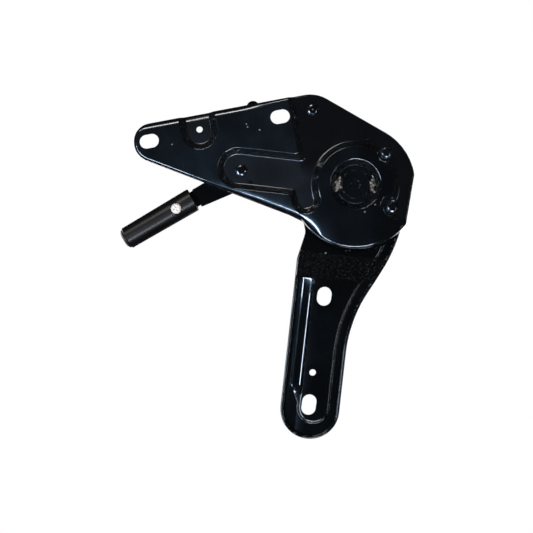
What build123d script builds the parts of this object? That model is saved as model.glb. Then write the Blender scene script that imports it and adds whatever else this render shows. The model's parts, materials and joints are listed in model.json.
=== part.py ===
from build123d import *
from math import acos, asin, atan2, cos, degrees, hypot, radians, sin, sqrt, tan
import os

# Adjustable angle bracket: a pressed cover with two mounting slots carries a pressed arm on a
# welded shaft. A toothed sector on the arm is held by a pawl, and a hand lever lifts the pawl.
# Millimetres. X runs along the two mounting slots, Z points up and Y points away from the viewer.
# The origin is midway between the mounting slots, on the mounting face.

# Mounting slots and the cover's outline
base_pitch = 100.0
base_slot_length = 14.6
base_slot_width = 10.5
cover_top = 13.3
cover_left = -62.0
cover_left_radius = 14.0
cover_low_angle = 31.5
cover_low_reach = 39.3
cover_bottom_radius = 48.5
cover_side_angle = 20.2
cover_side_reach = 42.8
cover_hub_radius = 45.4
cover_slope_angle = 49.5
cover_top_radius = 25.0
cover_side_radius = 8.0
cover_corner_radius = 4.0

# Places of the pivots, pins and rivets in the XZ view
pivot = (96.5, -60.3)
lever_pivot = (13.7, -34.0)
pawl_pivot = (75.2, 1.0)
upper_spacer_at = (123.8, -40.9)
lower_spacer_at = (120.7, -82.3)
stop_pin_at = (112.8, -30.5)
notch_hole_at = (-11.4, 2.2)
notch_hole_radius = 2.4

# Sheets, layers and clearances
cover_sheet = 2.5
sink = 4.5
wall_foot = 0.1
edge_bend = 2.4
floor_bend = 1.8
pressed_bend = 1.4
corner_bend = 4.0
pocket_bend = 3.0
play = 0.3
running = 0.08
gear_thickness = 4.0
arm_sheet = 2.8
lever_sheet = 2.5
rear_sheet = 3.0

# Sunk regions of the cover
strip_left = 58.5
channel_start = (12.0, -32.3)
channel_radius = 15.5
channel_angle = -17.0
channel_length = 52.0
leg_top = (57.6, -45.0)
leg_bottom = (57.6, -64.8)
leg_radius = 10.75
dome_radius = 28.5
rivet_pocket_radius = 9.5
rivet_pocket_angle = -31.0
recess_radius = 19.0
notch_centre = (-11.6, 0.4)
notch_radius = 13.6
far = 80.0
mouth_lead = 1.0

# Shaft, bushings, pins and rivet heads
shaft_radius = 11.0
shaft_front = 1.6
shaft_chamfer = 0.8
dimple_radius = 3.8
dimple_depth = 0.9
face_ring_radius = 7.4
face_ring_depth = 0.5
journal_radius = 9.0
bushing_wall = 2.5
shaft_rear_radius = 8.0
shaft_tail_radius = 7.0
collar_radius = 13.6
collar_height = 1.9
weld_angle = -10.6
weld_radius = 13.9
weld_pitch = 3.1
weld_count = 4
weld_ball = 2.9
weld_depth = 4.2
ring_thickness = 1.2
ring_wall = 3.0
ring_gap = 60.0
rivet_radius = 3.0
rivet_head_radius = 4.4
rivet_head_height = 1.7
stud_radius = 4.5
stop_pin_radius = 2.5
pin_radius = 5.0
bush_wall = 1.1
washer_radius = 8.0

# Arm
arm_tilt = 17.05
arm_end = (31.5, -220.0)
arm_half_width = 22.2
arm_left_straight = 111.4
arm_right_straight = 70.5
arm_shoulder = (53.2, -88.5)
arm_flare = (113.8, -118.5)
arm_horn = (126.8, -96.0)
arm_neck_top = (53.2, -72.0)
arm_shoulder_radius = 8.0
arm_waist_radius = 12.0
arm_flank_radius = 105.0
arm_flare_radius = 100.0
arm_step = 8.3
step_start = 53.0
step_end = 74.0
step_bend = 7.0
flange_width = 2.4
flange_bend = 0.9
gutter_bend = 0.6
land_bend = 1.8
ramp_fade = 16.0
ramp_lap = 1.2
land_height = 3.0
land_margin = 8.0
land_left_foot = 5.6
land_left_top = 12.7
land_end_margin = 12.0
cover_clear_radius = 50.6
arm_slot_width = 10.8
arm_upper_slot = (57.7, -138.7)
arm_upper_slot_length = 14.2
arm_lower_slot = (31.4, -216.5)
arm_lower_slot_length = 15.6
arm_slot_tilt = 18.7
arm_hole_at = (38.6, -193.3)
arm_hole_radius = 2.5
hub_disc_radius = 28.0
sector_sheet_radius = 34.0
stop_slot_outer = 39.3
stop_slot_end = -111.5
hook_pin_at = (69.2, -97.9)
hook_pin_radius = 3.0
hook_pin_length = 13.6

# Sector gear and pawl
tooth_pitch = 5.0
tooth_tip_radius = 38.0
tooth_root_radius = 35.8
tooth_tip_width = 0.9
tooth_root_width = 2.2
tooth_count = 17
pawl_angle = 163.5
gear_hub_radius = 20.0
gear_end_angle = 178.0
gear_rivet_radius = 2.5
gear_rivet_circle = 23.5
gear_rivet_angles = (82.0, 111.0, 140.0, 169.0)
pawl_eye_radius = 8.5
pawl_side_radius = 7.8
pawl_tail_at = (54.5, -70.0)
pawl_tail_radius = 5.0
pawl_tooth_count = 4
mesh_gap = 0.12

# Lever
lever_angle = 199.75
lever_travel = 18.0
pawl_ratio = -0.2
lever_disc_radius = 13.0
lever_neck_top = 6.7
lever_neck_bottom = 8.0
lever_flare_at = 16.9
lever_flare_bottom = 10.9
lever_shoulder = 39.5
tongue_top = 5.9
tongue_bottom = 6.5
tongue_end = 92.0
nose_angle = -6.0
nose_reach = 40.0
nose_radius = 6.5
cam_pin_radius = 2.5
cam_gap = 0.25
tab_angle = 68.9
tab_reach = 49.2
tab_radius = 5.0
tab_hole_radius = 1.8
lug_angle = 60.0
lug_reach = 11.4
lug_size = 2.6
post_angle = -62.0
post_radius = 1.5
spring_wire = 1.3
spring_mean_radius = 7.3
spring_turns = 3
spring_pitch = 1.2

# Grip
grip_start = 42.2
grip_end = 101.0
grip_mouth_radius = 9.1
grip_tip_radius = 8.5
grip_edge = 0.7
grip_fit = 0.15
cap_radius = 7.6
cap_height = 2.3
cap_spigot_radius = 5.4
cap_spigot_length = 7.0
screw_at = 56.8
screw_head_radius = 4.0
screw_head_height = 2.3
screw_radius = 2.0
screw_recess = 1.6
screw_slot_width = 0.9
screw_slot_length = 4.6
screw_slot_depth = 1.3
nut_width = 7.0
nut_height = 3.2

# Power spring
strip_thickness = 1.8
strip_width = 7.0
strip_inner_radius = 9.5
strip_growth = 2.3
strip_half_turns = 7
strip_slot_fit = 0.2

# Depths of the layers, front to back
wall_run = sink - wall_foot
cover_back = sink + cover_sheet
gear_front = cover_back + play
arm_front = gear_front + gear_thickness
arm_back = arm_front + arm_sheet
lever_front = arm_back - lever_sheet
rear_front = arm_back + play
rear_back = rear_front + rear_sheet
ring_back = rear_back + ring_thickness
strip_front = ring_back + 3 * play
strip_back = strip_front + strip_width
rivet_front = sink - rivet_head_height
rivet_back = rear_back + rivet_head_height
grip_depth = lever_front + lever_sheet / 2
bushing_radius = journal_radius + running + bushing_wall


def polar(centre, radius, angle):
    """The point at a distance and an angle in degrees from a centre, in the XZ view."""
    return (centre[0] + radius * cos(radians(angle)), centre[1] + radius * sin(radians(angle)))


def angle_between(start, end):
    """The direction in degrees from one point to another, in the XZ view."""
    return degrees(atan2(end[1] - start[1], end[0] - start[0]))


def face_at(depth):
    """The plane that faces the viewer at a depth, with X to the right and Z up."""
    return Plane.XZ.offset(-depth)


def turning_plane(centre):
    """The plane in which a turned piece is drawn as (radius, depth)."""
    return Plane(origin=(centre[0], 0, centre[1]), x_dir=(1, 0, 0), z_dir=(0, 0, 1))


def turned(centre, outline):
    """A piece turned about the line through a centre, from its (radius, depth) half outline."""
    with BuildPart() as piece:
        with BuildSketch(turning_plane(centre)):
            with BuildLine():
                Polyline(*outline, close=True)
            make_face()
        revolve(axis=Axis((centre[0], 0, centre[1]), (0, 1, 0)))
    return piece


def bar(*rounds):
    """The outline that wraps tightly round several discs, each a (centre, radius)."""
    with BuildSketch() as outline:
        for centre, radius in rounds:
            with Locations(centre):
                Circle(radius)
        make_hull()
    return outline.sketch


def ring_sector(inner, outer, start, end):
    """A piece of a flat ring about the main pivot, between two angles."""
    with BuildSketch() as sector:
        with BuildLine():
            CenterArc(pivot, outer, start, end - start)
            CenterArc(pivot, inner, start, end - start)
            Line(polar(pivot, inner, start), polar(pivot, outer, start))
            Line(polar(pivot, inner, end), polar(pivot, outer, end))
        make_face()
    return sector.sketch


def fillet_near(builder, point, radius):
    """Rounds the corner of a sketch that lies nearest to a point."""
    fillet(builder.vertices().sort_by_distance(point)[0], radius)


def cover_profile():
    """The cover's outline: two straight flanks and arcs about the main pivot."""
    upper_end = -cover_side_angle + degrees(acos(cover_side_reach / cover_hub_radius))
    lower_end = -cover_side_angle - degrees(acos(cover_side_reach / cover_bottom_radius))
    low_normal = -90 - cover_low_angle
    left_end = low_normal - degrees(acos(cover_low_reach / cover_bottom_radius))
    foot = polar(pivot, cover_low_reach, low_normal)
    low_left = (cover_left, foot[1] + (foot[0] - cover_left) * tan(radians(cover_low_angle)))
    top_left = (cover_left, cover_top)
    rise = (cover_top - pivot[1]) * sin(radians(cover_slope_angle))
    top_right = (pivot[0] + (cover_hub_radius - rise) / cos(radians(cover_slope_angle)), cover_top)
    with BuildSketch() as profile:
        with BuildLine():
            Polyline(low_left, top_left, top_right, polar(pivot, cover_hub_radius, cover_slope_angle))
            CenterArc(pivot, cover_hub_radius, cover_slope_angle, upper_end - cover_slope_angle)
            Line(polar(pivot, cover_hub_radius, upper_end), polar(pivot, cover_bottom_radius, lower_end))
            CenterArc(pivot, cover_bottom_radius, lower_end, left_end - lower_end)
            Line(polar(pivot, cover_bottom_radius, left_end), low_left)
        make_face()
        fillet_near(profile, low_left, cover_left_radius)
        fillet_near(profile, top_left, cover_left_radius)
        fillet_near(profile, top_right, cover_top_radius)
        fillet_near(profile, polar(pivot, cover_hub_radius, upper_end), cover_side_radius)
        fillet_near(profile, polar(pivot, cover_bottom_radius, lower_end), cover_corner_radius)
        fillet_near(profile, polar(pivot, cover_bottom_radius, left_end), cover_corner_radius)
    return profile.sketch


def bowl(centre, radius, depth, run):
    """A round space whose radius closes in by a run from its mouth down to its floor."""
    return turned(centre, [(0, 0), (radius, 0), (radius - run, depth), (0, depth)]).part


def trough(start, end, radius, depth, run):
    """A long space with round ends and walls that close in towards its floor."""
    along = Vector(end[0] - start[0], 0, end[1] - start[1])
    section = Plane(origin=(start[0], 0, start[1]), x_dir=along.cross(Vector(0, 1, 0)), z_dir=along)
    floor = section.y_dir.Y * depth
    with BuildPart() as space:
        with BuildSketch(section):
            with BuildLine():
                Polyline((-radius, 0), (radius, 0), (radius - run, floor), (run - radius, floor),
                         close=True)
            make_face()
        extrude(amount=along.length)
        add(bowl(start, radius, depth, run))
        add(bowl(end, radius, depth, run))
    return space.part


def meeting_points(first, first_radius, second, second_radius):
    """The two points where two circles cross."""
    gap = hypot(second[0] - first[0], second[1] - first[1])
    along = (gap ** 2 + first_radius ** 2 - second_radius ** 2) / (2 * gap)
    swing = degrees(acos(along / first_radius))
    heading = angle_between(first, second)
    return [polar(first, first_radius, heading + turn) for turn in (swing, -swing)]


def sunk_corners():
    """The corners between sunk regions, seen from the front, with the radius that rounds each."""
    slope = tan(radians(channel_angle))
    half_width = channel_radius / cos(radians(channel_angle))
    leg_left = leg_top[0] - leg_radius
    upper = meeting_points(pivot, dome_radius, upper_spacer_at, rivet_pocket_radius)
    lower = meeting_points(pivot, dome_radius, lower_spacer_at, rivet_pocket_radius)
    above = channel_start[1] + half_width
    below = channel_start[1] - half_width
    return [
        ((strip_left, above + slope * (strip_left - channel_start[0])), corner_bend),
        ((leg_left, below + slope * (leg_left - channel_start[0])), corner_bend),
        (upper[0], pocket_bend),
        (upper[1], pocket_bend),
        (lower[0], pocket_bend),
    ]


def sunk_space(front, floor, grow):
    """The sunk regions as one solid: lever channel, pawl leg, strip round the dome, recess and notch."""
    depth = floor - front + mouth_lead
    wide = grow + mouth_lead * wall_run / sink
    run = depth * wall_run / sink
    channel_end = polar(channel_start, channel_length, channel_angle)
    pocket_far = polar(lower_spacer_at, far, rivet_pocket_angle)
    notch_far = (notch_centre[0], far)
    with BuildPart() as space:
        with BuildSketch(Plane.XY.offset(pivot[1])):
            with BuildLine():
                Polyline((strip_left - wide, 0), (strip_left - wide + run, depth),
                         (pivot[0], depth), (pivot[0], 0), close=True)
            make_face()
        extrude(amount=far - pivot[1])
        with BuildSketch(face_at(depth)):
            with BuildLine():
                Polyline((pivot[0], far), (pocket_far[0], far), pocket_far, lower_spacer_at, pivot,
                         close=True)
            make_face()
        extrude(amount=depth)
        add(trough(channel_start, channel_end, channel_radius + wide, depth, run))
        add(trough(leg_top, leg_bottom, leg_radius + wide, depth, run))
        add(bowl(pivot, dome_radius - wide, depth, -run), mode=Mode.SUBTRACT)
        add(trough(lower_spacer_at, pocket_far, rivet_pocket_radius + wide, depth, run))
        add(bowl(upper_spacer_at, rivet_pocket_radius + wide, depth, run))
        add(bowl(pivot, recess_radius + wide, depth, run))
        add(trough(notch_centre, notch_far, notch_radius + wide, depth, run))
        for corner, radius in sunk_corners():
            steep = space.edges().filter_by(lambda edge: edge.bounding_box().size.Y > depth / 2)
            fillet(steep.sort_by_distance((corner[0], mouth_lead, corner[1]))[0], radius)
        if floor < cover_back:
            fillet(space.edges().filter_by_position(Axis.Y, depth, depth), floor_bend)
    return space.part.moved(Location((0, front - mouth_lead, 0)))


# Cover plate: the sheet is drawn so that its mounting lands stand proud of the sunk regions
cover_outline = cover_profile()
cover_rim = (face_at(0) * cover_outline).wires()[0]
with BuildPart() as cover_hollow:
    with BuildSketch(face_at(cover_back + mouth_lead)):
        add(cover_outline)
        offset(amount=-cover_sheet)
    extrude(amount=cover_back + mouth_lead - cover_sheet)
    add(sunk_space(cover_sheet, cover_back + mouth_lead, cover_sheet * (sqrt(2) - 1)), mode=Mode.SUBTRACT)

with BuildPart() as cover_plate:
    with BuildSketch(face_at(cover_back)):
        add(cover_outline)
    extrude(amount=cover_back)
    fillet(cover_plate.faces().sort_by(Axis.Y)[0].edges(), edge_bend)
    add(sunk_space(0, sink, 0), mode=Mode.SUBTRACT)
    mouth = cover_plate.edges().filter_by_position(Axis.Y, 0, 0)
    fillet(mouth.filter_by(lambda edge: cover_rim.distance_to(edge @ 0.5) > edge_bend + play), pressed_bend)
    add(cover_hollow.part, mode=Mode.SUBTRACT)
    with BuildSketch(face_at(cover_back)):
        with GridLocations(base_pitch, 1, 2, 1):
            SlotOverall(base_slot_length, base_slot_width)
        with Locations(notch_hole_at):
            Circle(notch_hole_radius)
        with Locations(pivot):
            Circle(shaft_radius)
        with Locations(lever_pivot, pawl_pivot, upper_spacer_at, lower_spacer_at):
            Circle(rivet_radius)
        with Locations(stop_pin_at):
            Circle(stop_pin_radius)
        with Locations(polar(lever_pivot, lug_reach, post_angle)):
            Circle(post_radius)
    extrude(amount=cover_back, mode=Mode.SUBTRACT)

# Rear plate: it closes the mechanism and stays clear of the bolts in the mounting slots
rear_hub_radius = 42.0
rear_pawl_radius = 9.5
rear_lever_radius = 14.0
rear_waist_radius = 8.0
with BuildPart() as rear_plate:
    with BuildSketch(face_at(rear_back)) as rear_profile:
        add(bar((pivot, rear_hub_radius), (pawl_pivot, rear_pawl_radius)))
        add(bar((pivot, rear_hub_radius), (lever_pivot, rear_lever_radius)))
        fillet_near(rear_profile, (62, -19), rear_waist_radius)
        with Locations(pivot):
            Circle(shaft_rear_radius, mode=Mode.SUBTRACT)
        with Locations(lever_pivot, pawl_pivot, upper_spacer_at, lower_spacer_at):
            Circle(rivet_radius, mode=Mode.SUBTRACT)
        with Locations(stop_pin_at):
            Circle(stop_pin_radius, mode=Mode.SUBTRACT)
    extrude(amount=rear_sheet)
    fillet(rear_plate.faces().sort_by(Axis.Y)[-1].outer_wire().edges(), 0.8)

# Main shaft: welded to the cover, with a journal for the arm and a slotted tail for the spring
tail_end = strip_back + 0.8
slot_floor = strip_front - play
shaft_blank = turned(
    pivot,
    [
        (0, shaft_front + dimple_depth),
        (dimple_radius - dimple_depth, shaft_front + dimple_depth),
        (dimple_radius, shaft_front),
        (face_ring_radius, shaft_front),
        (face_ring_radius, shaft_front + face_ring_depth),
        (face_ring_radius + shaft_chamfer, shaft_front + face_ring_depth),
        (face_ring_radius + shaft_chamfer, shaft_front),
        (shaft_radius - shaft_chamfer, shaft_front),
        (shaft_radius, shaft_front + shaft_chamfer),
        (shaft_radius, cover_back),
        (journal_radius, cover_back),
        (journal_radius, rear_front),
        (shaft_rear_radius, rear_front),
        (shaft_rear_radius, rear_back),
        (shaft_tail_radius, rear_back),
        (shaft_tail_radius, ring_back),
        (shaft_rear_radius, ring_back),
        (shaft_rear_radius, slot_floor - play),
        (shaft_tail_radius, slot_floor - play),
        (shaft_tail_radius, tail_end - shaft_chamfer),
        (shaft_tail_radius - shaft_chamfer, tail_end),
        (0, tail_end),
    ],
)
with BuildPart() as main_shaft:
    add(shaft_blank.part)
    with BuildSketch(face_at(tail_end)):
        with Locations(pivot):
            Rectangle(4 * shaft_tail_radius, strip_thickness + 2 * strip_slot_fit)
    extrude(amount=tail_end - slot_floor, mode=Mode.SUBTRACT)

# Shaft collar: a ring on the recess floor, broken where the two weld beads lie
with BuildPart() as shaft_collar:
    with BuildSketch(face_at(sink)):
        with Locations(pivot):
            Circle(collar_radius)
            Circle(shaft_radius, mode=Mode.SUBTRACT)
        weld_span = weld_pitch * weld_count + play
        with Locations(Location((pivot[0], pivot[1], 0), (0, 0, weld_angle))):
            Rectangle(4 * collar_radius, weld_span, mode=Mode.SUBTRACT)
    extrude(amount=collar_height)

# Shaft welds: two rows of overlapping beads between shaft, collar gap and recess floor
with BuildPart() as shaft_welds:
    for side in (0, 180):
        for step in range(weld_count):
            along = (step - (weld_count - 1) / 2) * weld_pitch
            bead = polar(polar(pivot, weld_radius, weld_angle + side), along, weld_angle + side + 90)
            with Locations((bead[0], weld_depth, bead[1])):
                Sphere(weld_ball)
    with BuildSketch(face_at(sink)):
        with Locations(Location((pivot[0], pivot[1], 0), (0, 0, weld_angle))):
            Rectangle(4 * recess_radius, weld_pitch * weld_count)
        with Locations(pivot):
            Circle(shaft_radius, mode=Mode.SUBTRACT)
    extrude(amount=sink, mode=Mode.INTERSECT)
    add(cover_plate.part, mode=Mode.SUBTRACT)

# Retaining ring behind the rear plate
with BuildPart() as retaining_ring:
    with BuildSketch(face_at(ring_back)):
        with Locations(pivot):
            Circle(shaft_tail_radius + ring_wall)
            Circle(shaft_tail_radius, mode=Mode.SUBTRACT)
        add(ring_sector(shaft_tail_radius / 2, far, 90 - ring_gap / 2, 90 + ring_gap / 2), mode=Mode.SUBTRACT)
    extrude(amount=ring_thickness)


def stepped_pin(centre, body_radius):
    """A riveted pin that clamps cover and rear plate against the ends of its body."""
    edge = rivet_head_height / 2
    return turned(
        centre,
        [
            (0, rivet_front),
            (rivet_head_radius - edge, rivet_front),
            (rivet_head_radius, rivet_front + edge),
            (rivet_head_radius, sink),
            (rivet_radius, sink),
            (rivet_radius, cover_back),
            (body_radius, cover_back),
            (body_radius, rear_front),
            (rivet_radius, rear_front),
            (rivet_radius, rear_back),
            (rivet_head_radius, rear_back),
            (rivet_head_radius, rivet_back - edge),
            (rivet_head_radius - edge, rivet_back),
            (0, rivet_back),
        ],
    )


upper_spacer = stepped_pin(upper_spacer_at, stud_radius)
lower_spacer = stepped_pin(lower_spacer_at, stud_radius)
pawl_pivot_pin = stepped_pin(pawl_pivot, pin_radius)
lever_pivot_pin = stepped_pin(lever_pivot, pin_radius)

stop_pin_front = sink - 0.7
stop_pin = turned(
    stop_pin_at,
    [
        (0, stop_pin_front),
        (stop_pin_radius - 0.4, stop_pin_front),
        (stop_pin_radius, stop_pin_front + 0.4),
        (stop_pin_radius, rear_back + 0.6),
        (stop_pin_radius - 0.4, rear_back + 1.0),
        (0, rear_back + 1.0),
    ],
)


def sleeve(centre, inner, outer, front, back):
    """A plain ring, such as a bush or a washer, between two depths."""
    return turned(centre, [(inner, front), (outer, front), (outer, back), (inner, back)])


pin_fit = pin_radius + running
pawl_washer = sleeve(pawl_pivot, pin_fit, washer_radius, lever_front, arm_back)
lever_bush = sleeve(lever_pivot, pin_fit, pin_fit + bush_wall, cover_back, lever_front - play)
arm_bushing = sleeve(pivot, journal_radius + running, bushing_radius, gear_front, arm_back)

post_at = polar(lever_pivot, lug_reach, post_angle)
spring_post = turned(
    post_at,
    [(0, sink), (post_radius, sink), (post_radius, lever_front - play), (0, lever_front - play)],
)

# Sector gear: the teeth stand at whole multiples of the pitch from the pawl's middle
first_tooth = pawl_angle - (tooth_count - 3) * tooth_pitch
stop_reach = hypot(stop_pin_at[0] - pivot[0], stop_pin_at[1] - pivot[1])
stop_angle = angle_between(pivot, stop_pin_at)
shoulder_angle = stop_angle + degrees(asin((stop_pin_radius + play / 2) / stop_reach))


def tooth_profile(angle, root, tip, root_width, tip_width):
    """One tooth on the main pivot's circle, drawn from its root radius to its tip radius."""
    with BuildSketch() as tooth:
        with BuildLine():
            side = Vector(-sin(radians(angle)), cos(radians(angle)))
            root_at = Vector(*polar(pivot, root, angle))
            tip_at = Vector(*polar(pivot, tip, angle))
            Polyline(
                root_at - side * root_width / 2,
                tip_at - side * tip_width / 2,
                tip_at + side * tip_width / 2,
                root_at + side * root_width / 2,
                close=True,
            )
        make_face()
    return tooth.sketch


tooth_overlap = 0.4
with BuildPart() as sector_gear:
    with BuildSketch(face_at(arm_front)):
        with Locations(pivot):
            Circle(gear_hub_radius)
        add(ring_sector(bushing_radius + 1, tooth_root_radius, shoulder_angle, gear_end_angle))
        for index in range(tooth_count):
            angle = first_tooth + index * tooth_pitch
            add(tooth_profile(angle, tooth_root_radius - tooth_overlap, tooth_tip_radius,
                              tooth_root_width, tooth_tip_width))
        with Locations(pivot):
            Circle(bushing_radius, mode=Mode.SUBTRACT)
        with Locations(*[polar(pivot, gear_rivet_circle, angle) for angle in gear_rivet_angles]):
            Circle(gear_rivet_radius, mode=Mode.SUBTRACT)
    extrude(amount=gear_thickness)

with BuildPart() as gear_rivets:
    with BuildSketch(face_at(arm_back)):
        with Locations(*[polar(pivot, gear_rivet_circle, angle) for angle in gear_rivet_angles]):
            Circle(gear_rivet_radius)
    extrude(amount=arm_back - gear_front)

# Pawl: it hangs from its pin beside the sector, and the lever's cam pin runs in its slot


def cam_path(turn):
    """The cam pin's centre in the pawl's own rest frame, when the lever has turned by an angle."""
    centre = polar(lever_pivot, nose_reach, nose_angle + turn)
    reach = hypot(centre[0] - pawl_pivot[0], centre[1] - pawl_pivot[1])
    return polar(pawl_pivot, reach, angle_between(pawl_pivot, centre) - pawl_ratio * turn)


cam_steps = 4
cam_points = [cam_path(lever_travel * step / cam_steps) for step in range(cam_steps + 1)]
cam_rest, cam_full = cam_points[0], cam_points[-1]
with BuildPart() as pawl:
    with BuildSketch(face_at(gear_front + gear_thickness)):
        add(bar((pawl_pivot, pawl_eye_radius), (cam_full, pawl_side_radius), (cam_rest, pawl_side_radius)))
        add(bar((cam_rest, pawl_side_radius), (pawl_tail_at, pawl_tail_radius),
                (polar(pivot, 44.0, pawl_angle - 6), 6.0)))
        with Locations(pivot):
            Circle(tooth_tip_radius + play, mode=Mode.SUBTRACT)
        tip_radius = tooth_root_radius + play
        for index in range(pawl_tooth_count):
            angle = pawl_angle + (index - (pawl_tooth_count - 1) / 2) * tooth_pitch
            space = radians(tooth_pitch)
            add(tooth_profile(angle, tooth_tip_radius + 1.5, tip_radius,
                              space * (tooth_tip_radius + 1.5) - tooth_tip_width * 0.55 - 2 * mesh_gap,
                              space * tip_radius - tooth_root_width - 2 * mesh_gap))
        with Locations(pawl_pivot):
            Circle(pin_fit, mode=Mode.SUBTRACT)
        for start, end in zip(cam_points, cam_points[1:]):
            slot_radius = cam_pin_radius + cam_gap
            add(bar((start, slot_radius), (end, slot_radius)), mode=Mode.SUBTRACT)
    extrude(amount=gear_thickness)

# Arm plate: one pressed sheet, stepped towards the viewer below the cover
tilt = radians(arm_tilt)
down = Vector(-sin(tilt), -cos(tilt))
across = Vector(cos(tilt), -sin(tilt))


def arm_point(along, aside):
    """A point given by its distance down the arm from its end circle's centre, and sideways."""
    point = Vector(*arm_end) + down * along + across * aside
    return (point.X, point.Y)


def arm_profile():
    """The arm's outline with its hub disc, sector sheet and open stop slot."""
    corners = (
        arm_neck_top,
        arm_shoulder,
        arm_point(-arm_left_straight, -arm_half_width),
        arm_point(arm_half_width, -arm_half_width),
        arm_point(arm_half_width, arm_half_width),
        arm_point(-arm_right_straight, arm_half_width),
        arm_flare,
        arm_horn,
    )
    with BuildSketch() as profile:
        with BuildLine():
            Polyline(*corners, pivot, close=True)
        make_face()
        end_radius = arm_half_width - 0.1
        radii = (None, arm_shoulder_radius, arm_waist_radius, end_radius, end_radius,
                 arm_flank_radius, arm_flare_radius, None)
        for corner, radius in zip(corners, radii):
            if radius:
                fillet_near(profile, corner, radius)
        with Locations(pivot):
            Circle(hub_disc_radius)
        add(ring_sector(bushing_radius + 1, sector_sheet_radius, shoulder_angle + 2, 200))
        add(ring_sector(hub_disc_radius, stop_slot_outer, stop_slot_end, -20), mode=Mode.SUBTRACT)
        fillet_near(profile, polar(pivot, stop_slot_outer, stop_slot_end), 4.0)
        fillet_near(profile, polar(pivot, stop_slot_outer, -49), 2.0)
        fillet_near(profile, arm_horn, 3.0)
    return profile.sketch


def stepped_slab(profile, front, back):
    """The part of an outline between two depths that follow the arm's step."""
    side = Plane(origin=(pivot[0], 0, pivot[1]), x_dir=(down.X, 0, down.Y), z_dir=(-down.Y, 0, down.X))
    with BuildPart() as block:
        with BuildSketch(face_at(2 * arm_back)):
            add(profile)
        extrude(amount=4 * arm_back)
        with BuildSketch(side) as steps:
            with BuildLine():
                Polyline(
                    (-far, arm_step + front),
                    (step_start, arm_step + front),
                    (step_end, front),
                    (4 * far, front),
                    (4 * far, back),
                    (step_end, back),
                    (step_start, arm_step + back),
                    (-far, arm_step + back),
                    close=True,
                )
            make_face()
            for place, level in ((step_start, arm_step), (step_end, 0)):
                for depth in (front, back):
                    fillet_near(steps, (place, level + depth), step_bend)
        extrude(amount=2 * far, both=True, mode=Mode.INTERSECT)
    return block.part


land_floor = land_height
sheet_back = land_height + arm_sheet
arm_outline = arm_profile()
pivot_along = Vector(pivot[0] - arm_end[0], pivot[1] - arm_end[1]).dot(down)
land_radius = arm_half_width - (land_left_top + land_margin) / 2
land_end_along = arm_half_width - land_end_margin - land_radius
with BuildSketch() as clear_disc:
    with Locations(pivot):
        Circle(cover_clear_radius)
    add(ring_sector(cover_clear_radius / 2, far, -45, 215))


def turned_to_arm(along, aside):
    """A place on the arm, with X turned across the arm."""
    return Location((*arm_point(along, aside), 0), (0, 0, -arm_tilt))


def land_profile(inset):
    """The raised land's top: straight on the left, round at the end, beside the outline on the right."""
    with BuildSketch() as land:
        add(arm_outline)
        offset(amount=-(land_margin + inset))
        with Locations(turned_to_arm(0, -arm_half_width)):
            Rectangle(2 * (land_left_top + inset), 6 * far, mode=Mode.SUBTRACT)
        with Locations(turned_to_arm(land_end_along + far, 0)):
            Rectangle(2 * far, 2 * far, mode=Mode.SUBTRACT)
        with Locations(arm_point(land_end_along, (land_left_top - land_margin) / 2)):
            Circle(land_radius - inset)
        add(clear_disc.sketch, mode=Mode.SUBTRACT)
    return land.sketch


with BuildSketch() as gutter:
    add(arm_outline)
    offset(amount=-flange_width)
    add(land_profile(0), mode=Mode.SUBTRACT)
    with Locations(turned_to_arm(pivot_along + step_end - far, -arm_half_width)):
        Rectangle(2 * arm_half_width, 2 * far, mode=Mode.SUBTRACT)
    add(clear_disc.sketch)
gutter_cut = stepped_slab(gutter.sketch, -arm_back, land_floor)
land_cut = stepped_slab(land_profile(arm_sheet), arm_sheet, arm_back)

# Ramp: the land's left side slopes down to the gutter and fades out where the round end starts
ramp_top = land_left_top + land_bend + ramp_lap
with BuildPart() as land_ramp:
    for along, foot in (
        (pivot_along + step_end, land_left_foot),
        (land_end_along - ramp_fade, land_left_foot),
        (land_end_along, land_left_top + land_bend / 2),
    ):
        place = arm_point(along, 0)
        section = Plane(origin=(place[0], 0, place[1]), x_dir=(across.X, 0, across.Y),
                        z_dir=(down.X, 0, down.Y))
        level = section.y_dir.Y * land_floor
        with BuildSketch(section):
            with BuildLine():
                Polyline((foot - arm_half_width, level), (ramp_top - arm_half_width, 0),
                         (ramp_top - arm_half_width, level), close=True)
            make_face()
    loft(ruled=True)

arm_bends = (
    (0, land_margin, land_bend),
    (land_floor, land_margin, gutter_bend),
    (0, flange_width, flange_bend),
    (0, 0, flange_bend),
)
with BuildPart() as arm_plate:
    add(stepped_slab(arm_outline, 0, sheet_back))
    add(gutter_cut, mode=Mode.SUBTRACT)
    for depth, margin, radius in arm_bends:
        place = arm_point(-arm_half_width, arm_half_width - margin)
        fillet(arm_plate.edges().sort_by_distance((place[0], depth, place[1]))[0], radius)
    add(land_ramp.part)
    add(land_cut, mode=Mode.SUBTRACT)
    with BuildSketch(face_at(arm_back + 1)):
        with Locations(Location((*arm_upper_slot, 0), (0, 0, 90 - arm_slot_tilt))):
            SlotOverall(arm_upper_slot_length, arm_slot_width)
        with Locations(Location((*arm_lower_slot, 0), (0, 0, 90 - arm_slot_tilt))):
            SlotOverall(arm_lower_slot_length, arm_slot_width)
        with Locations(arm_hole_at):
            Circle(arm_hole_radius)
        with Locations(hook_pin_at):
            Circle(hook_pin_radius - 0.8)
        with Locations(pivot):
            Circle(bushing_radius)
        with Locations(*[polar(pivot, gear_rivet_circle, angle) for angle in gear_rivet_angles]):
            Circle(gear_rivet_radius)
    extrude(amount=2 * arm_back, mode=Mode.SUBTRACT)

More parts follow.
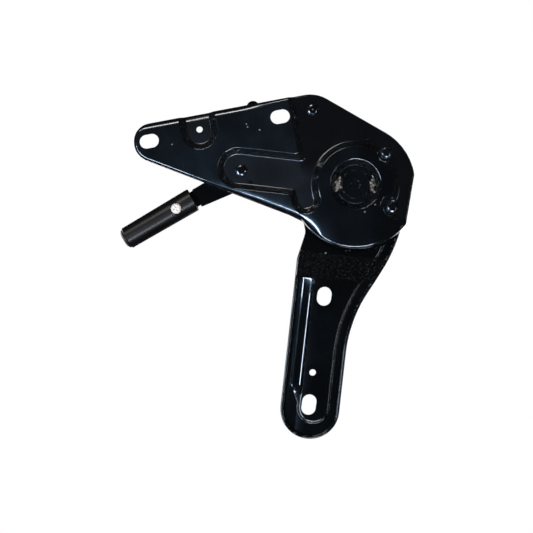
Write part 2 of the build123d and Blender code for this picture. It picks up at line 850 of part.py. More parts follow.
# Hook pin on the arm for the power spring's outer end
hook_neck = hook_pin_radius - 0.8
spring_hook_pin = turned(
    hook_pin_at,
    [
        (0, arm_front - 1.2),
        (hook_pin_radius, arm_front - 1.2),
        (hook_pin_radius, arm_front),
        (hook_neck, arm_front),
        (hook_neck, arm_back),
        (hook_pin_radius, arm_back),
        (hook_pin_radius, arm_back + hook_pin_length),
        (0, arm_back + hook_pin_length),
    ],
)

# Power spring: a flat strip wound in half turns about two centres, from shaft slot to hook pin
spring_end_radius = strip_inner_radius + (strip_half_turns - 1) * strip_growth
hook_centre_radius = hook_pin_radius + running + strip_thickness / 2
with BuildPart() as spiral_spring:
    with BuildSketch(face_at(strip_back)) as strip:
        for index in range(strip_half_turns):
            centre = (pivot[0] + (strip_growth if index % 2 else 0), pivot[1])
            radius = strip_inner_radius + index * strip_growth
            start = 180 * (index % 2)
            with BuildLine():
                CenterArc(centre, radius + strip_thickness / 2, start, 180)
                CenterArc(centre, radius - strip_thickness / 2, start, 180)
                for turn in (start, start + 180):
                    Line(polar(centre, radius - strip_thickness / 2, turn),
                         polar(centre, radius + strip_thickness / 2, turn))
            make_face()
        inner_start = pivot[0] - shaft_tail_radius + 1
        inner_end = pivot[0] + strip_inner_radius + strip_thickness / 2
        with Locations(((inner_start + inner_end) / 2, pivot[1])):
            Rectangle(inner_end - inner_start, strip_thickness)
        leg_x = pivot[0] - spring_end_radius
        with Locations((leg_x, (pivot[1] + hook_pin_at[1]) / 2)):
            Rectangle(strip_thickness, pivot[1] - hook_pin_at[1])
        hook_centre = (leg_x - hook_centre_radius, hook_pin_at[1])
        with BuildLine():
            CenterArc(hook_centre, hook_centre_radius + strip_thickness / 2, 180, 180)
            CenterArc(hook_centre, hook_centre_radius - strip_thickness / 2, 180, 180)
            for turn in (0, 180):
                Line(polar(hook_centre, hook_centre_radius - strip_thickness / 2, turn),
                     polar(hook_centre, hook_centre_radius + strip_thickness / 2, turn))
        make_face()
    extrude(amount=strip_width)

# Lever plate: tongue and neck towards the grip, nose with the cam pin, and a tab for a link rod
lever_u = Vector(cos(radians(lever_angle)), sin(radians(lever_angle)))
nose_at = polar(lever_pivot, nose_reach, nose_angle)
tab_at = polar(lever_pivot, tab_reach, tab_angle)


def lever_face(depth):
    """The viewer-facing plane whose X runs from the lever's pivot along the grip."""
    return Plane(origin=(lever_pivot[0], depth, lever_pivot[1]), x_dir=(lever_u.X, 0, lever_u.Y),
                 z_dir=(0, -1, 0))


with BuildPart() as lever_plate:
    with BuildSketch(lever_face(arm_back)) as neck:
        with BuildLine():
            Polyline(
                (0, -lever_neck_top),
                (lever_shoulder, -lever_neck_top),
                (lever_shoulder, -tongue_top),
                (tongue_end, -tongue_top),
                (tongue_end, tongue_bottom),
                (lever_shoulder, tongue_bottom),
                (lever_shoulder, lever_neck_bottom),
                (lever_flare_at, lever_flare_bottom),
                (0, lever_disc_radius),
                close=True,
            )
        make_face()
        Circle(lever_disc_radius)
    extrude(amount=lever_sheet)
    with BuildSketch(face_at(arm_back)):
        add(bar((lever_pivot, lever_disc_radius - 2), (nose_at, nose_radius)))
        add(bar((lever_pivot, lever_disc_radius - 4), (tab_at, tab_radius)))
    extrude(amount=lever_sheet)
    lug_at = polar(lever_pivot, lug_reach, lug_angle)
    with BuildSketch(face_at(lever_front)):
        with Locations(Location((*lug_at, 0), (0, 0, lug_angle))):
            Rectangle(lug_size, lug_size)
    extrude(amount=gear_thickness - play)
    with BuildSketch(face_at(arm_back)):
        with Locations(lever_pivot):
            Circle(pin_fit)
        with Locations(nose_at):
            Circle(cam_pin_radius)
        with Locations(tab_at):
            Circle(tab_hole_radius)
        with Locations(polar(lever_pivot, screw_at, lever_angle)):
            Circle(screw_radius + grip_fit)
    extrude(amount=lever_sheet, mode=Mode.SUBTRACT)

lever_cam_pin = turned(
    nose_at,
    [(0, gear_front), (cam_pin_radius, gear_front), (cam_pin_radius, arm_back), (0, arm_back)],
)

# Lever return spring: close turns of wire round the bush, with legs on the lever's lug and the post
coil_front = cover_back + 1.0
lug_leg_angle = lug_angle + degrees(asin((lug_size + spring_wire + running) / (2 * lug_reach - lug_size)))
post_leg_angle = post_angle - degrees(asin((post_radius + (spring_wire + running) / 2) / lug_reach))
with BuildPart() as return_spring:
    for index in range(spring_turns):
        with Locations(Location((lever_pivot[0], coil_front + index * spring_pitch, lever_pivot[1]),
                                (90, 0, 0))):
            Torus(spring_mean_radius, spring_wire / 2)
    for depth, angle in ((coil_front + (spring_turns - 1) * spring_pitch, lug_leg_angle),
                         (coil_front, post_leg_angle)):
        start = polar(lever_pivot, spring_mean_radius, angle)
        leg_plane = Plane(origin=(start[0], depth, start[1]), x_dir=(0, 1, 0),
                          z_dir=(cos(radians(angle)), 0, sin(radians(angle))))
        with BuildSketch(leg_plane):
            Circle(spring_wire / 2)
        extrude(amount=lug_reach + lug_size - spring_mean_radius)

# Grip: a moulded handle turned about the lever's tongue
grip_axis = Axis((lever_pivot[0], grip_depth, lever_pivot[1]), (lever_u.X, 0, lever_u.Y))
grip_plane = Plane(origin=(lever_pivot[0], grip_depth, lever_pivot[1]), x_dir=(lever_u.X, 0, lever_u.Y),
                   z_dir=(-lever_u.Y, 0, lever_u.X))


def turned_on_grip(outline):
    """A piece turned about the grip's own line, from its (distance, radius) half outline."""
    with BuildPart() as piece:
        with BuildSketch(grip_plane):
            with BuildLine():
                Polyline(*outline, close=True)
            make_face()
        revolve(axis=grip_axis)
    return piece


spigot_start = grip_end - cap_spigot_length
nut_front = grip_depth + grip_tip_radius - screw_recess - nut_height
grip_blank = turned_on_grip(
    [
        (grip_start, 0),
        (grip_start, grip_mouth_radius - grip_edge),
        (grip_start + grip_edge, grip_mouth_radius),
        (grip_end - grip_edge, grip_tip_radius),
        (grip_end, grip_tip_radius - grip_edge),
        (grip_end, cap_spigot_radius),
        (spigot_start - play, cap_spigot_radius),
        (spigot_start - play, 0),
    ]
)
head_seat = grip_depth - grip_mouth_radius + screw_recess
with BuildPart() as grip:
    add(grip_blank.part)
    with BuildSketch(lever_face(grip_depth + lever_sheet / 2 + grip_fit)):
        with Locations(((grip_start + tongue_end) / 2, (tongue_bottom - tongue_top) / 2)):
            Rectangle(tongue_end - grip_start + 2 * grip_fit, tongue_top + tongue_bottom + 2 * grip_fit)
    extrude(amount=lever_sheet + 2 * grip_fit, mode=Mode.SUBTRACT)
    with BuildSketch(lever_face(head_seat)):
        with Locations((screw_at, 0)):
            Circle(screw_head_radius + 2 * grip_fit)
    extrude(amount=grip_mouth_radius, mode=Mode.SUBTRACT)
    with BuildSketch(lever_face(2 * grip_depth)):
        with Locations((screw_at, 0)):
            Circle(screw_radius + grip_fit)
    extrude(amount=2 * grip_depth, mode=Mode.SUBTRACT)
    with BuildSketch(lever_face(2 * grip_depth)):
        with Locations((screw_at, 0)):
            RegularPolygon(nut_width / 2 + grip_fit, 6, major_radius=False)
    extrude(amount=2 * grip_depth - nut_front, mode=Mode.SUBTRACT)

grip_end_cap = turned_on_grip(
    [
        (spigot_start, 0),
        (spigot_start, cap_spigot_radius - grip_fit),
        (grip_end, cap_spigot_radius - grip_fit),
        (grip_end, cap_radius),
        (grip_end + cap_height * 0.5, cap_radius - 0.4),
        (grip_end + cap_height, cap_radius - 2.2),
        (grip_end + cap_height, 0),
    ]
)

screw_place = polar(lever_pivot, screw_at, lever_angle)
head_front = head_seat - screw_head_height
screw_end = nut_front + nut_height + 0.4
screw_blank = turned(
    screw_place,
    [
        (0, head_front),
        (screw_head_radius - 1.4, head_front),
        (screw_head_radius - 0.3, head_front + 0.8),
        (screw_head_radius, head_front + 1.5),
        (screw_head_radius, head_seat),
        (screw_radius, head_seat),
        (screw_radius, screw_end),
        (0, screw_end),
    ],
)
with BuildPart() as grip_screw:
    add(screw_blank.part)
    with BuildSketch(lever_face(head_front + screw_slot_depth)):
        with Locations((screw_at, 0)):
            Rectangle(screw_slot_length, screw_slot_width)
            Rectangle(screw_slot_width, screw_slot_length)
    extrude(amount=screw_slot_depth, mode=Mode.SUBTRACT)

with BuildPart() as grip_nut:
    with BuildSketch(lever_face(nut_front + nut_height)):
        with Locations((screw_at, 0)):
            RegularPolygon(nut_width / 2, 6, major_radius=False)
            Circle(screw_radius, mode=Mode.SUBTRACT)
    extrude(amount=nut_height)

os.makedirs("parts", exist_ok=True)
pieces = {
    "cover_plate": cover_plate,
    "rear_plate": rear_plate,
    "main_shaft": main_shaft,
    "shaft_collar": shaft_collar,
    "shaft_welds": shaft_welds,
    "retaining_ring": retaining_ring,
    "upper_spacer": upper_spacer,
    "lower_spacer": lower_spacer,
    "stop_pin": stop_pin,
    "pawl_pivot_pin": pawl_pivot_pin,
    "pawl_washer": pawl_washer,
    "lever_pivot_pin": lever_pivot_pin,
    "lever_bush": lever_bush,
    "spring_post": spring_post,
    "return_spring": return_spring,
    "spiral_spring": spiral_spring,
    "arm_plate": arm_plate,
    "sector_gear": sector_gear,
    "gear_rivets": gear_rivets,
    "arm_bushing": arm_bushing,
    "spring_hook_pin": spring_hook_pin,
    "pawl": pawl,
    "lever_plate": lever_plate,
    "lever_cam_pin": lever_cam_pin,
    "grip": grip,
    "grip_end_cap": grip_end_cap,
    "grip_screw": grip_screw,
    "grip_nut": grip_nut,
}
for name, piece in pieces.items():
    piece.part.label = name
    export_step(piece.part, f"parts/{name}.step")
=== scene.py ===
import json
import math

import bpy
from mathutils import Matrix, Vector


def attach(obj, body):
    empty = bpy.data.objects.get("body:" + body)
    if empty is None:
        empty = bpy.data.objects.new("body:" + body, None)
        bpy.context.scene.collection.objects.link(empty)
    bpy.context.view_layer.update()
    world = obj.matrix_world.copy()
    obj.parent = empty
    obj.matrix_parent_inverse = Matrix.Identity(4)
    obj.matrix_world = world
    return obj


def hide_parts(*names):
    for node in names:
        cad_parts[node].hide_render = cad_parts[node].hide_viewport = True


# Adjustable angle bracket: finishes, weld beads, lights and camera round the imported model.
# Metres. X runs along the mounting slots, Z points up and Y points away from the viewer.
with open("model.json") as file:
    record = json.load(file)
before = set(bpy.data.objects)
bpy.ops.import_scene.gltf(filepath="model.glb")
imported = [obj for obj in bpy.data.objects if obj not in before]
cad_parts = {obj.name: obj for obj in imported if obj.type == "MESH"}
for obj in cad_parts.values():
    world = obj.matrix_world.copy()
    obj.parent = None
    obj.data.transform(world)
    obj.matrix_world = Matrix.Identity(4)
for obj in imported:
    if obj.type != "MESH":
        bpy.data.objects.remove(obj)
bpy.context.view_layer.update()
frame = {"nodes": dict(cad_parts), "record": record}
mm = 0.001

# Places on the bracket's front, as X and Z in millimetres
shaft_at = (96.5, -60.3)
pins_at = ((123.8, -40.9), (120.7, -82.3), (112.8, -30.5), (75.2, 1.0), (13.7, -34.0))
arm_end_at = (31.5, -220.0)

# Spots of bare steel grey, as X, Z and width in millimetres: nicks in the paint on the cover and a pin, and
# pale grey spots on the arm
cover_nicks = (
    (24.0, -1.0, 0.8),
    (24.5, -3.2, 0.8),
    (33.0, -7.0, 1.0),
    (-33.5, -5.5, 0.7),
    (108.0, -78.0, 0.7),
    (99.0, -82.0, 0.9),
    (14.0, -19.0, 0.5),
    (62.0, -70.0, 0.6),
)
# Pale grey spots on the arm, coloured bare steel grey
arm_grey_spots = ((65.0, -107.0, 1.1), (81.0, -108.0, 0.8), (83.5, -108.5, 0.8))
bar_nicks = ((75.2, 1.0, 0.6),)


def front_point(place_mm):
    """A place on the front, given as X and Z in millimetres, in metres."""
    return Vector((place_mm[0] * mm, 0, place_mm[1] * mm))


shaft_centre = front_point(shaft_at)

# The cover's hollow, in metres and degrees: it starts at the left and is steepest at the strip
hollow_left = -0.07
strip_left = 0.0585
hollow_fade = 0.045
hollow_below = (-0.028, -0.05)
cover_tilt = 6.0

# The cover's edges roll off over a width, down to a tilt, between two fades along X
low_edge_angle = math.radians(-121.5)
low_edge_way = (math.cos(low_edge_angle), 0.0, math.sin(low_edge_angle))
low_edge_reach = Vector(low_edge_way).dot(shaft_centre) + 0.0393
crest_width = 0.012
crest_tilt = 11.0
crest_fades = ((-0.03, 0.03), (0.078, 0.034))
edge_width = 0.006
edge_tilt = 24.0
edge_fades = ((-0.02, 0.015), (0.065, 0.045))
top_edge = 0.0105
top_width = 0.0027
top_tilt = 22.0
top_fades = ((0.06, 0.02),)

# Where the cover is smoother, and how much of the usual roughness it has there
strip_above = (-0.045, -0.033)
strip_round_shaft = (0.030, 0.036)
right_side = (0.092, 0.115)
cover_smooth_share = 0.42

# The arm, measured down it and across it. The land falls to the left by land_crown times the distance
# squared.
arm_lean = math.radians(17.05)
down_arm = (-math.sin(arm_lean), 0.0, -math.cos(arm_lean))
across_arm = (math.cos(arm_lean), 0.0, -math.sin(arm_lean))
arm_middle = Vector(across_arm).dot(front_point(arm_end_at))
step_foot = Vector(down_arm).dot(shaft_centre) + 0.074
ramp_end = Vector(down_arm).dot(shaft_centre) + 0.156
above_step = (step_foot - 0.002, step_foot + 0.001)
arm_smooth_share = 0.5
land_half = 0.0095
land_crown = 8.0
land_fade = (step_foot - 0.001, step_foot + 0.03)
ramp_fades = ((step_foot - 0.004, step_foot + 0.016), (ramp_end + 0.008, ramp_end - 0.002))

# The gutter's slopes, each from one place across the arm to another, with its rise
gutter_slopes = (
    (-0.0172, -0.0159, -0.0005),
    (-0.0152, -0.0100, -0.0019),
    (-0.0095, -0.0075, 0.0024),
)

# Riveted heads: flat within one radius, rounded out to another
head_flat = 2.2 * mm
head_edge = 4.4 * mm
head_round = 0.5 * mm

# A crown's height is in metres already, so its bump layer is one metre deep, in millimetres
one_metre = 1000.0

# Faces sunk between these depths mirror less crisply than the clear gloss elsewhere
sunk_from = (1.5 * mm, 3.5 * mm)
sunk_to = (9 * mm, 7.5 * mm)
clear_gloss = 0.06


def linear(hex_value):
    """An sRGB hex colour as linear red, green, blue and alpha."""
    channels = [int(hex_value[i:i + 2], 16) / 255 for i in (0, 2, 4)]
    return tuple(c / 12.92 if c <= 0.04045 else ((c + 0.055) / 1.055) ** 2.4 for c in channels) + (1.0,)


def grey(value):
    return (value, value, value, 1.0)


def add_node(tree, kind, settings=None, **links):
    """Adds a node, sets its properties and fills its inputs with values or linked sockets."""
    node = tree.nodes.new(kind)
    for name, value in (settings or {}).items():
        setattr(node, name, value)
    for name, value in links.items():
        key = int(name[1:]) if name[0] == "i" and name[1:].isdigit() else name.replace("_", " ")
        if isinstance(value, bpy.types.NodeSocket):
            tree.links.new(value, node.inputs[key])
        else:
            node.inputs[key].default_value = value
    return node


def new_material(name, **sockets):
    """A material with one Principled shader whose plain sockets are set here."""
    material = bpy.data.materials.new(name)
    material.use_nodes = True
    shader = material.node_tree.nodes["Principled BSDF"]
    for socket, value in sockets.items():
        shader.inputs[socket.replace("_", " ")].default_value = value
    return material, material.node_tree, shader


def ramp(tree, factor, *stops):
    """A colour ramp through (position, colour) stops."""
    node = add_node(tree, "ShaderNodeValToRGB", Fac=factor)
    elements = node.color_ramp.elements
    while len(elements) < len(stops):
        elements.new(0.5)
    for element, (position, colour) in zip(elements, stops):
        element.position = position
        element.color = colour
    return node.outputs["Color"]


def noise(tree, place, size_mm, detail=2.0, roughness=0.5):
    """Noise whose features are about size_mm across."""
    node = add_node(tree, "ShaderNodeTexNoise", Vector=place, Scale=1000 / size_mm, Detail=detail,
                    Roughness=roughness)
    return node.outputs["Fac"]


def mix_colour(tree, factor, first, second):
    """Mixes two colours: a Mix node's colour inputs are 6 and 7, and its colour output is 2."""
    node = add_node(tree, "ShaderNodeMix", {"data_type": "RGBA"})
    for index, value in ((0, factor), (6, first), (7, second)):
        if isinstance(value, bpy.types.NodeSocket):
            tree.links.new(value, node.inputs[index])
        else:
            node.inputs[index].default_value = value
    return node.outputs[2]


def bump(tree, *layers):
    """Stacks bump layers, each (height socket, depth in millimetres, strength), into one normal."""
    normal = None
    for height, depth_mm, strength in layers:
        node = add_node(tree, "ShaderNodeBump", Height=height, Distance=depth_mm * mm, Strength=strength)
        if normal is not None:
            tree.links.new(normal, node.inputs["Normal"])
        normal = node.outputs["Normal"]
    return normal


def maths(tree, operation, first, *others):
    """Applies an operation to the first value and each of the others in turn."""
    result = first
    for other in others or (0.0,):
        result = add_node(tree, "ShaderNodeMath", {"operation": operation}, i0=result, i1=other).outputs[0]
    return result


def product(tree, *values):
    return maths(tree, "MULTIPLY", *values)


def total(tree, *values):
    return maths(tree, "ADD", *values)


def fade(tree, value, start, end, low=0.0, high=1.0):
    """Runs smoothly from low to high while the value goes from start to end."""
    node = add_node(tree, "ShaderNodeMapRange", {"interpolation_type": "SMOOTHSTEP"}, Value=value,
                    From_Min=start, From_Max=end, To_Min=low, To_Max=high)
    return node.outputs[0]


def slope(tree, value, start, end, rise):
    """A height in metres that climbs steadily by a rise while the value goes from start to end."""
    node = add_node(tree, "ShaderNodeMapRange", Value=value, From_Min=start, From_Max=end, To_Min=0.0,
                    To_Max=rise)
    return node.outputs[0]


def square(tree, value):
    return maths(tree, "POWER", value, 2.0)


def past(tree, value, start):
    """How far a value has gone beyond a start, or 0 before it."""
    return maths(tree, "MAXIMUM", maths(tree, "SUBTRACT", value, start), 0.0)


def axes(tree, vector):
    """A vector's X, Y and Z sockets."""
    return add_node(tree, "ShaderNodeSeparateXYZ", Vector=vector).outputs


def distance_from(tree, place, place_mm):
    """The distance in metres, on the front, from a point given as X and Z in millimetres."""
    flat = add_node(tree, "ShaderNodeVectorMath", {"operation": "MULTIPLY"}, i0=place, i1=(1, 0, 1))
    node = add_node(tree, "ShaderNodeVectorMath", {"operation": "DISTANCE"}, i0=flat.outputs[0],
                    i1=front_point(place_mm))
    return node.outputs["Value"]


def reach_along(tree, place, direction):
    """How far a place lies along a direction, in metres."""
    return add_node(tree, "ShaderNodeVectorMath", {"operation": "DOT_PRODUCT"}, i0=place,
                    i1=direction).outputs["Value"]


def rolled_off(tree, reach, edge, width, tilt, aside, fades):
    """A height that falls ever more steeply towards an edge, to a tilt, between fades to either side."""
    steep = math.tan(math.radians(tilt)) / (2 * width)
    height = product(tree, square(tree, past(tree, reach, edge - width)), -steep)
    for start, end in fades:
        height = product(tree, height, fade(tree, aside, start, end))
    return height


def cover_crown(tree, place):
    """The pressed cover is a little hollow, and rolls off at its edges.

    It faces ever more to the left up to the strip. Past that the tilt goes on below the strip only,
    where it eases out.
    """
    spot = axes(tree, place)
    steep = math.tan(math.radians(cover_tilt))
    hollow_width = strip_left - hollow_left
    before_strip = maths(tree, "MINIMUM", past(tree, spot["X"], hollow_left), hollow_width)
    hollow = product(tree, square(tree, before_strip), steep / (2 * hollow_width))
    past_strip = maths(tree, "MINIMUM", past(tree, spot["X"], strip_left), hollow_fade)
    easing = product(tree, square(tree, past_strip), -steep / (2 * hollow_fade))
    eased = total(tree, product(tree, past_strip, steep), easing)
    hollow = total(tree, hollow, product(tree, eased, fade(tree, spot["Z"], *hollow_below)))
    low = reach_along(tree, place, low_edge_way)
    crest = rolled_off(tree, low, low_edge_reach, crest_width, crest_tilt, spot["X"], crest_fades)
    edge = rolled_off(tree, low, low_edge_reach, edge_width, edge_tilt, spot["X"], edge_fades)
    top = rolled_off(tree, spot["Z"], top_edge, top_width, top_tilt, spot["X"], top_fades)
    return total(tree, hollow, total(tree, crest, edge, top))


def cover_smoother(tree, place):
    """The strip and the cover's right side are smoother than the rest, so they look darker."""
    spot = axes(tree, place)
    strip = product(tree, fade(tree, spot["X"], strip_left - mm, strip_left + mm),
                    fade(tree, spot["Z"], *strip_above),
                    fade(tree, distance_from(tree, place, shaft_at), *strip_round_shaft))
    smooth = maths(tree, "MAXIMUM", strip, fade(tree, spot["X"], *right_side))
    return fade(tree, smooth, 0.0, 1.0, 1.0, cover_smooth_share)


def arm_crown(tree, place):
    """The left part of the arm's land faces a little to the left, and its gutter is nearly level."""
    aside = maths(tree, "SUBTRACT", reach_along(tree, place, across_arm), arm_middle)
    down = reach_along(tree, place, down_arm)
    on_land = maths(tree, "MINIMUM", maths(tree, "MAXIMUM", aside, -land_half), 0.0)
    land = product(tree, square(tree, maths(tree, "ABSOLUTE", on_land)), -land_crown)
    land = product(tree, land, fade(tree, down, *land_fade))
    gutter = total(tree, *[slope(tree, aside, *stretch) for stretch in gutter_slopes])
    beside_ramp = product(tree, *[fade(tree, down, *stretch) for stretch in ramp_fades])
    return total(tree, land, product(tree, gutter, beside_ramp))


def arm_smoother(tree, place):
    """The arm is smoother, and so looks darker, from the step up."""
    return fade(tree, reach_along(tree, place, down_arm), *above_step, arm_smooth_share, 1.0)


def pin_crown(tree, place):
    """Each riveted head is rounded off towards its edge."""
    nearest = maths(tree, "MINIMUM", 1.0, *[distance_from(tree, place, pin) for pin in pins_at])
    return fade(tree, nearest, head_flat, head_edge, head_round, 0.0)


def no_crown(tree, place):
    """The lever is flat."""
    return 0.0


def even_gloss(tree, place):
    """The same gloss all over."""
    return 1.0


sheen_tint = linear("bae0ff")
bare_steel = linear("6e7072")


def dip_coat(name, tint, gloss, deep_gloss, sheen, crown, smoother, edge_grit, edge_wear, grey_spots):
    """Black dip coat on pressed steel.

    The paint is thin and glossy over a softly uneven sheet, so it mirrors in crisp lines on the bends
    and shows a broad dull sheen on the faces. It is grainy on bends and cut edges, where the steel's
    grey comes through in specks, and each grey spot is an X and Z place and a width in millimetres.
    """
    material, tree, shader = new_material(name, Metallic=0.0, IOR=1.5, Specular_IOR_Level=sheen,
                                          Specular_Tint=sheen_tint, Coat_Weight=1.0)
    place = add_node(tree, "ShaderNodeTexCoord").outputs["Object"]
    normal = add_node(tree, "ShaderNodeNewGeometry").outputs["Normal"]
    bend = fade(tree, maths(tree, "ABSOLUTE", axes(tree, normal)["Y"]), 0.985, 0.75)
    cloud = noise(tree, place, 30)
    peel = noise(tree, place, 3.5, 1.0)
    grit = noise(tree, place, 0.9)

    # Bare steel grey shows in specks on the bends and in the listed grey spots
    specks = product(tree, fade(tree, grit, 0.56, 0.66), product(tree, bend, edge_wear))
    for x, z, width in grey_spots:
        ragged = fade(tree, grit, 0.3, 0.7, 0.35 * width * mm, width * mm)
        inside = maths(tree, "LESS_THAN", distance_from(tree, place, (x, z)), ragged)
        specks = maths(tree, "MAXIMUM", specks, inside)
    paint = ramp(tree, cloud, (0.35, linear(tint[0])), (0.7, linear(tint[1])))
    tree.links.new(mix_colour(tree, specks, paint, bare_steel), shader.inputs["Base Color"])

    # The paint is duller where it is gritty, and mirrors less crisply on the sunk faces
    dull = total(tree, fade(tree, cloud, 0.3, 0.7, gloss, gloss + 0.05),
                 fade(tree, grit, 0.3, 0.8, 0.0, 0.05))
    tree.links.new(product(tree, dull, smoother(tree, place)), shader.inputs["Roughness"])
    depth = axes(tree, place)["Y"]
    sunk = product(tree, fade(tree, depth, *sunk_from), fade(tree, depth, *sunk_to))
    tree.links.new(fade(tree, sunk, 0.0, 1.0, clear_gloss, deep_gloss), shader.inputs["Coat Roughness"])

    # The crown, the uneven sheet, the paint's peel and the grit shape the surface
    grain = product(tree, grit, total(tree, product(tree, bend, edge_grit), 0.1))
    surface = bump(tree, (crown(tree, place), one_metre, 1.0), (cloud, 0.35, 1.0), (peel, 0.02, 0.6),
                   (grain, 0.06, 1.0))
    tree.links.new(surface, shader.inputs["Normal"])
    tree.links.new(surface, shader.inputs["Coat Normal"])
    return material


def plain_metal(name, colour, roughness, grain_mm, depth_mm, metallic=1.0):
    """Bare or plated metal with a fine grain in its gloss."""
    material, tree, shader = new_material(name, Metallic=metallic)
    place = add_node(tree, "ShaderNodeTexCoord").outputs["Object"]
    grain = noise(tree, place, grain_mm, 3.0)
    tone = ramp(tree, grain, (0.3, linear(colour[0])), (0.7, linear(colour[1])))
    tree.links.new(tone, shader.inputs["Base Color"])
    rough = add_node(tree, "ShaderNodeMapRange", Value=grain, To_Min=roughness, To_Max=roughness + 0.15)
    tree.links.new(rough.outputs[0], shader.inputs["Roughness"])
    tree.links.new(bump(tree, (grain, depth_mm, 0.4)), shader.inputs["Normal"])
    return material


def moulded_plastic(name, tint, gloss):
    """Black moulded plastic with a fine satin grain."""
    material, tree, shader = new_material(name, Metallic=0.0, IOR=1.49, Specular_IOR_Level=0.34)
    place = add_node(tree, "ShaderNodeTexCoord").outputs["Object"]
    grain = noise(tree, place, 0.8)
    tone = ramp(tree, noise(tree, place, 14), (0.3, linear(tint)), (0.7, linear("101113")))
    tree.links.new(tone, shader.inputs["Base Color"])
    rough = add_node(tree, "ShaderNodeMapRange", Value=grain, To_Min=gloss, To_Max=gloss + 0.1)
    tree.links.new(rough.outputs[0], shader.inputs["Roughness"])
    tree.links.new(bump(tree, (grain, 0.03, 0.3)), shader.inputs["Normal"])
    return material


finishes = {
    "black_coated_sheet": dip_coat(
        "black dip coated steel sheet", tint=("040507", "07090c"), gloss=0.19, deep_gloss=0.2, sheen=0.45,
        crown=cover_crown, smoother=cover_smoother, edge_grit=0.5, edge_wear=0.15, grey_spots=cover_nicks),
    "black_coated_arm": dip_coat(
        "black dip coated steel arm", tint=("030405", "06080a"), gloss=0.16, deep_gloss=0.06, sheen=0.3,
        crown=arm_crown, smoother=arm_smoother, edge_grit=1.3, edge_wear=0.9, grey_spots=arm_grey_spots),
    "black_coated_bar": dip_coat(
        "black dip coated turned steel", tint=("030405", "06080a"), gloss=0.18, deep_gloss=0.06, sheen=0.4,
        crown=pin_crown, smoother=even_gloss, edge_grit=0.6, edge_wear=0.5, grey_spots=bar_nicks),
    "lever_sheet": dip_coat(
        "black dip coated lever steel", tint=("020203", "040405"), gloss=0.12, deep_gloss=0.06, sheen=0.3,
        crown=no_crown, smoother=even_gloss, edge_grit=0.3, edge_wear=0.1, grey_spots=()),
    "weld_metal": plain_metal("as welded steel", ("131211", "989288"), 0.26, 0.7, 0.5),
    "spring_steel": plain_metal("oiled spring steel", ("1c1d20", "34353a"), 0.32, 3.0, 0.02),
    "hardened_steel": plain_metal("hardened tool steel", ("3a3b3e", "56575a"), 0.35, 2.0, 0.03),
    "zinc_plated_steel": plain_metal(
        "bright zinc plate", ("e6dfd6", "f2ebe2"), 0.4, 8.0, 0.005, metallic=0.25),
    "bush_bronze": plain_metal("bearing bronze", ("6a4c22", "8a683a"), 0.35, 2.0, 0.02),
    "black_moulded_grip": moulded_plastic("black moulded nylon", "060607", 0.3),
    "black_moulded_cap": moulded_plastic("black moulded cap", "080809", 0.36),
}


def smooth_bends(crease_degrees):
    """A node group that joins loose triangles and shades every bend below the crease angle smoothly."""
    group = bpy.data.node_groups.new("joined and smooth", "GeometryNodeTree")
    for way in ("INPUT", "OUTPUT"):
        group.interface.new_socket("Geometry", in_out=way, socket_type="NodeSocketGeometry")
    source = add_node(group, "NodeGroupInput")
    joined = add_node(group, "GeometryNodeMergeByDistance", Geometry=source.outputs[0], Distance=0.001 * mm)
    smooth = add_node(group, "GeometryNodeSetShadeSmooth", {"domain": "FACE"}, Geometry=joined.outputs[0],
                      Shade_Smooth=True)
    angle = add_node(group, "GeometryNodeInputMeshEdgeAngle").outputs["Unsigned Angle"]
    crease = add_node(group, "FunctionNodeCompare", {"data_type": "FLOAT", "operation": "GREATER_THAN"},
                      A=angle, B=math.radians(crease_degrees))
    sharp = add_node(group, "GeometryNodeSetShadeSmooth", {"domain": "EDGE"}, Geometry=smooth.outputs[0],
                     Selection=crease.outputs[0], Shade_Smooth=False)
    add_node(group, "NodeGroupOutput", Geometry=sharp.outputs[0])
    return group


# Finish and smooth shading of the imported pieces
shading = smooth_bends(32)
for subpart in frame["record"]["subparts"]:
    node = frame["nodes"][subpart["node"]]
    finish = "lever_sheet" if subpart["node"] == "lever_plate" else subpart["material_slot"]
    node.data.materials.clear()
    node.data.materials.append(finishes[finish])
    joined = node.modifiers.new("joined_and_smooth", "NODES")
    joined.node_group = shading
    weighted = node.modifiers.new("weighted_normals", "WEIGHTED_NORMAL")
    weighted.keep_sharp = True

# Rough welds at the shaft's left and right. A lump's numbers, in millimetres, are its distance from the
# shaft, its place along the weld, its depth and its radius.
weld_lean = -10.6
left_weld_lumps = (
    (12.6, 0.0, 3.6, 2.8),
    (13.6, 2.6, 3.8, 2.2),
    (12.0, -2.6, 3.6, 2.2),
    (11.6, -5.0, 3.4, 1.4),
    (14.4, 4.8, 4.0, 1.5),
    (11.2, 1.6, 3.1, 1.6),
    (10.9, -1.4, 2.9, 1.2),
    (14.4, -1.6, 4.0, 1.6),
)
right_weld_lumps = (
    (12.9, 0.4, 3.6, 2.4),
    (13.2, 3.4, 3.9, 1.9),
    (12.4, -3.2, 3.7, 2.0),
    (13.9, -5.4, 3.9, 1.4),
    (11.2, 1.6, 3.0, 1.3),
    (11.4, -1.2, 3.0, 1.2),
    (14.6, 0.2, 4.0, 1.4),
)
spatter = bpy.data.textures.new("weld spatter", "CLOUDS")
spatter.noise_scale = 0.9 * mm
spatter_height = 1.1 * mm
spatter_level = 0.6
weld_voxel = 0.28 * mm


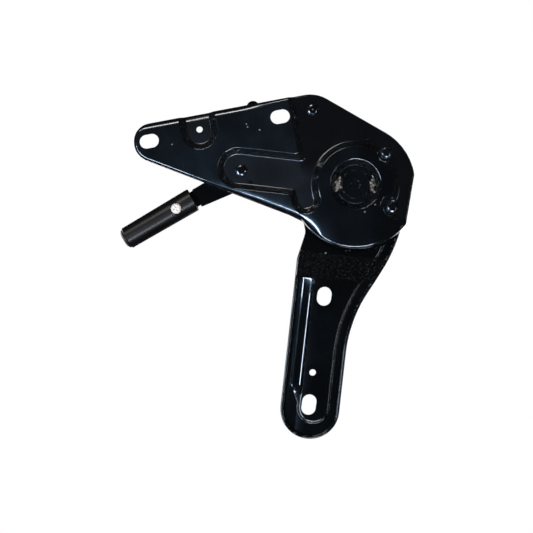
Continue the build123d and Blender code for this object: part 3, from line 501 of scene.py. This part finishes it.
def weld_bead(name, side_degrees, lumps):
    """A ragged weld on one side of the shaft, fused from overlapping lumps."""
    angle = math.radians(side_degrees + weld_lean)
    out = Vector((math.cos(angle), 0, math.sin(angle)))
    along = Vector((-math.sin(angle), 0, math.cos(angle)))
    bpy.ops.object.select_all(action="DESELECT")
    balls = []
    for away, aside, depth, radius in lumps:
        spot = shaft_centre + (out * away + along * aside + Vector((0, depth, 0))) * mm
        bpy.ops.mesh.primitive_ico_sphere_add(subdivisions=3, radius=radius * mm, location=spot)
        balls.append(bpy.context.object)
    for ball in balls:
        ball.select_set(True)
    bpy.ops.object.join()
    bead = bpy.context.object
    bead.name = name
    bpy.ops.object.transform_apply(location=True, rotation=True, scale=True)
    fused = bead.modifiers.new("fused", "REMESH")
    fused.mode = "VOXEL"
    fused.voxel_size = weld_voxel
    bpy.ops.object.modifier_apply(modifier="fused")
    ragged = bead.modifiers.new("ragged", "DISPLACE")
    ragged.texture = spatter
    ragged.texture_coords = "LOCAL"
    ragged.strength = spatter_height
    ragged.mid_level = spatter_level
    bpy.ops.object.modifier_apply(modifier="ragged")
    bpy.ops.object.shade_smooth()
    bead.data.materials.clear()
    bead.data.materials.append(finishes["weld_metal"])
    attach(bead, "base")
    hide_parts("shaft_welds")
    bpy.ops.object.select_all(action="DESELECT")


weld_bead("left_weld", 180, left_weld_lumps)
weld_bead("right_weld", 0, right_weld_lumps)

# Camera: straight on to the sheets, turned so that the bracket leans as in the photograph
view_centre = Vector((0.0192, 0.0, -0.1087))
view_distance = 0.9
view_width = 0.39975
view_roll = math.radians(10.617)
sensor_width = 36.0
bpy.ops.object.camera_add()
camera = bpy.context.object
camera.name = "photo_camera"
camera.data.sensor_width = sensor_width
camera.data.lens = sensor_width * view_distance / view_width
right = Vector((math.cos(view_roll), 0, -math.sin(view_roll)))
up = Vector((math.sin(view_roll), 0, math.cos(view_roll)))
toward = Vector((0, -1, 0))
camera.matrix_world = Matrix((
    (right.x, up.x, toward.x, view_centre.x),
    (right.y, up.y, toward.y, -view_distance),
    (right.z, up.z, toward.z, view_centre.z),
    (0, 0, 0, 1),
))
bpy.context.scene.camera = camera

# Floor, below the picture and seen from other sides only
floor_size = 1.3
floor_centre = (0.02, 0, -0.52)
bpy.ops.mesh.primitive_plane_add(size=floor_size, location=floor_centre)
floor = bpy.context.object
floor.name = "floor"
floor_paint, floor_tree, floor_shader = new_material("pale floor", Base_Color=linear("f2f2f2"), Roughness=0.8)
floor.data.materials.append(floor_paint)
floor.visible_glossy = False


def soft_light(name, right_degrees, up_degrees, size, power, hex_colour="ffffff"):
    """A rectangular studio light, placed by its angles off the camera's axis, that faces the bracket."""
    aside = math.radians(right_degrees)
    rise = math.radians(up_degrees)
    way = Vector((math.sin(aside) * math.cos(rise), -math.cos(aside) * math.cos(rise), math.sin(rise)))
    bpy.ops.object.light_add(type="AREA", location=view_centre + way * light_distance)
    light = bpy.context.object
    light.name = name
    light.data.shape = "RECTANGLE"
    light.data.size, light.data.size_y = size
    light.data.energy = power
    light.data.color = linear(hex_colour)[:3]
    light.rotation_mode = "QUATERNION"
    light.rotation_quaternion = (-way).to_track_quat("-Z", "Y")


# Lights: narrow windows that the bends mirror, a strip from the right, and two broad ones for the back
light_distance = 1.4
soft_light("left_window", -30, -9, (0.2, 0.7), 15, "e4eeff")
soft_light("top_window", -14, 47, (0.7, 0.15), 6.5, "fff2e6")
soft_light("low_window", -4, -33, (0.7, 0.16), 16, "eef4ff")
soft_light("right_strip", 33, -14, (0.06, 0.5), 1.7)
soft_light("back_left", -140, 4, (1.4, 1.1), 13)
soft_light("back_right", 150, -10, (0.8, 1.3), 14)

# World: white to the camera, nearly black to the paint
world = bpy.data.worlds.new("studio")
world.use_nodes = True
bpy.context.scene.world = world
sky = world.node_tree
seen = add_node(sky, "ShaderNodeLightPath").outputs["Is Camera Ray"]
sky.links.new(mix_colour(sky, seen, grey(0.02), grey(1.0)), sky.nodes["Background"].inputs["Color"])
bpy.context.scene.view_settings.view_transform = "Standard"
